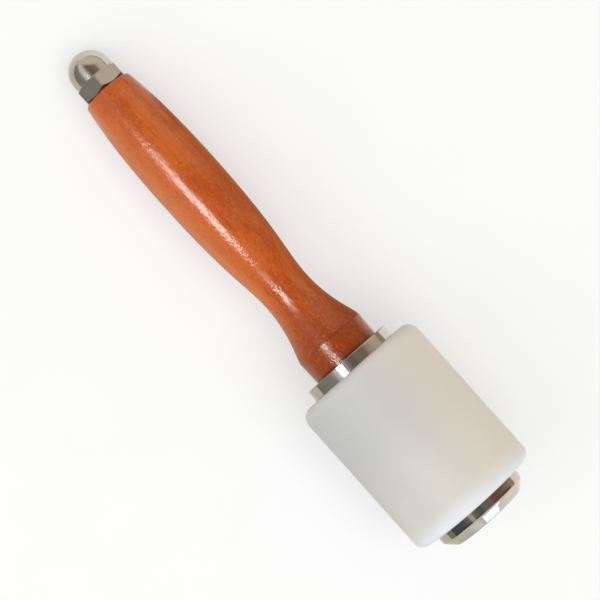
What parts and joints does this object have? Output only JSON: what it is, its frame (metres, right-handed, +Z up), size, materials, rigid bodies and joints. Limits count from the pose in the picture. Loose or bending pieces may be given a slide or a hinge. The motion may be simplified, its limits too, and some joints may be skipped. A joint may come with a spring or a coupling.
{
  "type": "wooden-handled nylon mallet",
  "caption": "Hand mallet: cylindrical nylon head between steel end plate and collar, on a turned wooden handle closed by a domed hex nut.",
  "frame": {"origin": "centre of the end plate's flat outer face, on the tool's axis", "axes": "+X along the tool's axis, out of the end plate and away from the handle, which runs towards -X; +Z up when the tool lies on a bench, through two corners of the domed nut; +Y completes the right-handed frame"},
  "size_m": [0.2125, 0.05, 0.05],
  "materials": {
    "polished_steel": "turned and polished",
    "nylon": "milky off-white, satin, turned",
    "lacquered_wood": "red-brown stain under clear gloss lacquer",
    "rod_steel": "zinc plated, threaded",
    "plated_steel": "nickel plated, satin"
  },
  "bodies": {
    "root": {"end_plate": "polished_steel", "nylon_head": "nylon", "collar": "polished_steel", "handle": "lacquered_wood", "tie_rod": "rod_steel", "dome_nut": "plated_steel"}
  },
  "joints": []
}
